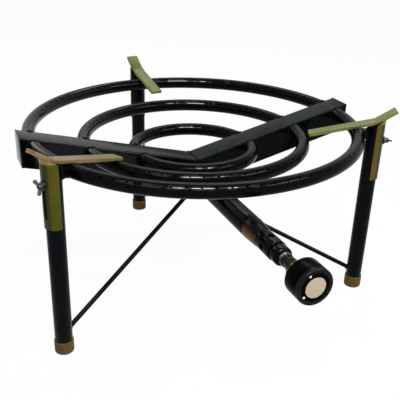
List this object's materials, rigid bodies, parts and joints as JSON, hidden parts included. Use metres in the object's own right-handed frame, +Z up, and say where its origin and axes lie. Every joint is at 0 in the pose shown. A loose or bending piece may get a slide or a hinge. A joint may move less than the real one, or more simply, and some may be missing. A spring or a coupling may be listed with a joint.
{
  "type": "disc griddle burner",
  "caption": "Gas burner for a cooking disc: dished concentric flame rings on two ducts, legs with sliding disc rests, a mixing tube with air shutter, tap and knob.",
  "frame": {"origin": "on the floor below the middle of the whole burner's box", "axes": "+Z up; +Y away from the knob, along the mixing tube; +X along the ducts to the right, seen from the knob"},
  "size_m": [0.5534, 0.6726, 0.3103],
  "materials": {
    "black_enamel": "gloss enamel",
    "collar_enamel": "gloss enamel, worn to a brassy tint",
    "leg_enamel": "satin enamel",
    "yellow_zinc": "yellow chromate zinc",
    "zinc_steel": "bright zinc",
    "tap_brass": "turned, tarnished",
    "packing": "matte",
    "knob_black": "semi-gloss",
    "knob_cream": "satin",
    "knob_white": "satin",
    "foot_tan": "matte"
  },
  "bodies": {
    "frame": {"outer_ring_front": "black_enamel", "outer_ring_rear": "black_enamel", "middle_ring_front": "black_enamel", "middle_ring_rear": "black_enamel", "inner_ring_front": "black_enamel", "inner_ring_rear": "black_enamel", "left_arm": "black_enamel", "right_arm": "black_enamel", "left_arm_cap": "black_enamel", "right_arm_cap": "black_enamel", "mixing_tube": "black_enamel", "mixer_collar": "collar_enamel", "injector": "tap_brass", "tap_nut": "black_enamel", "tap_body": "tap_brass", "gas_inlet": "tap_brass", "tap_bonnet": "tap_brass", "spindle_packing": "packing", "brace_hub": "black_enamel", "brace_stud": "black_enamel", "brace_nut": "black_enamel", "leg_left": "leg_enamel", "leg_right": "leg_enamel", "leg_rear": "leg_enamel", "foot_cap_left": "foot_tan", "foot_cap_right": "foot_tan", "foot_cap_rear": "foot_tan", "leg_block_left": "leg_enamel", "leg_block_right": "leg_enamel", "leg_block_rear": "leg_enamel", "brace_left": "leg_enamel", "brace_right": "leg_enamel", "brace_rear": "leg_enamel", "leg_nut_left": "zinc_steel", "leg_nut_right": "zinc_steel", "leg_nut_rear": "zinc_steel"},
    "shutter": {"air_shutter": "black_enamel"},
    "knob": {"tap_plug": "tap_brass", "knob": "knob_black", "knob_disc": "knob_cream", "knob_marks": "knob_white", "knob_grub_screw": "zinc_steel"},
    "support_left": {"disc_rest_left": "yellow_zinc", "rest_slider_left": "yellow_zinc"},
    "washer_left": {"screw_washer_left": "zinc_steel"},
    "wing_left": {"wing_screw_left": "zinc_steel"},
    "support_right": {"disc_rest_right": "yellow_zinc", "rest_slider_right": "yellow_zinc"},
    "washer_right": {"screw_washer_right": "zinc_steel"},
    "wing_right": {"wing_screw_right": "zinc_steel"},
    "support_rear": {"disc_rest_rear": "yellow_zinc", "rest_slider_rear": "yellow_zinc"},
    "washer_rear": {"screw_washer_rear": "zinc_steel"},
    "wing_rear": {"wing_screw_rear": "zinc_steel"}
  },
  "joints": [
    {"name": "shutter_turn", "type": "hinge", "parent": "frame", "child": "shutter", "pos_m": [0, -0.28528, 0.19059], "axis": [0, -1, 0], "range_deg": [0, 45]},
    {"name": "knob_turn", "type": "hinge", "parent": "frame", "child": "knob", "pos_m": [0, -0.28528, 0.19059], "axis": [0, -1, 0], "range_deg": [0, 180]},
    {"name": "rest_lift_left", "type": "slide", "parent": "frame", "child": "support_left", "axis": [0, 0, 1], "range_m": [0, 0.045]},
    {"name": "washer_slide_left", "type": "slide", "parent": "frame", "child": "washer_left", "axis": [-0.887, -0.4617, 0], "range_m": [0, 0.0021]},
    {"name": "wing_turn_left", "type": "hinge", "parent": "washer_left", "child": "wing_left", "pos_m": [-0.24615, -0.09941, 0.26], "axis": [-0.887, -0.4617, 0], "range_deg": [0, 720]},
    {"name": "rest_lift_right", "type": "slide", "parent": "frame", "child": "support_right", "axis": [0, 0, 1], "range_m": [0, 0.045]},
    {"name": "washer_slide_right", "type": "slide", "parent": "frame", "child": "washer_right", "axis": [0.887, -0.4617, 0], "range_m": [0, 0.0021]},
    {"name": "wing_turn_right", "type": "hinge", "parent": "washer_right", "child": "wing_right", "pos_m": [0.24615, -0.09941, 0.26], "axis": [0.887, -0.4617, 0], "range_deg": [0, 720]},
    {"name": "rest_lift_rear", "type": "slide", "parent": "frame", "child": "support_rear", "axis": [0, 0, 1], "range_m": [0, 0.045]},
    {"name": "washer_slide_rear", "type": "slide", "parent": "frame", "child": "washer_rear", "axis": [-0.0872, 0.9962, 0], "range_m": [0, 0.0021]},
    {"name": "wing_turn_rear", "type": "hinge", "parent": "washer_rear", "child": "wing_rear", "pos_m": [0, 0.30622, 0.26], "axis": [-0.0872, 0.9962, 0], "range_deg": [0, 720]}
  ],
  "couplings": [
    {"joint": "washer_slide_left", "follows": "wing_turn_left", "m_per_rad": 0.00015915},
    {"joint": "washer_slide_right", "follows": "wing_turn_right", "m_per_rad": 0.00015915},
    {"joint": "washer_slide_rear", "follows": "wing_turn_rear", "m_per_rad": 0.00015915}
  ]
}
